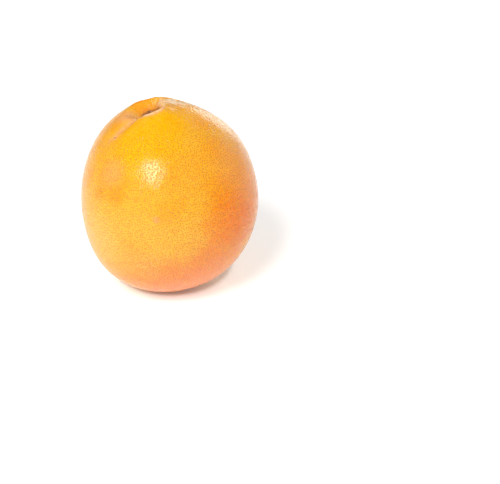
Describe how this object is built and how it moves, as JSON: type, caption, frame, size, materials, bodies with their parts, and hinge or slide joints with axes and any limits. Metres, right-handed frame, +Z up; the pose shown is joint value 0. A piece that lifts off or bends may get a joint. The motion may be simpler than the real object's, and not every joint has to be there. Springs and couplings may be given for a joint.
{
  "type": "grapefruit",
  "caption": "Whole grapefruit, a little taller than wide, standing on a small flat spot, with a dry calyx in the creased hollow of its stem end.",
  "frame": {"origin": "middle of the fruit's footprint, on the surface that it stands on", "axes": "+Z up. The stem end leans about 16 degrees from +Z towards -X and +Y. -Y is the side with the crease that ends in a small brown scar"},
  "size_m": [0.1048, 0.1046, 0.1141],
  "materials": {
    "peel": "waxy, pitted, semi-gloss citrus peel, golden yellow with orange and pink patches"
  },
  "bodies": {
    "root": {"fruit": "peel"}
  },
  "joints": []
}
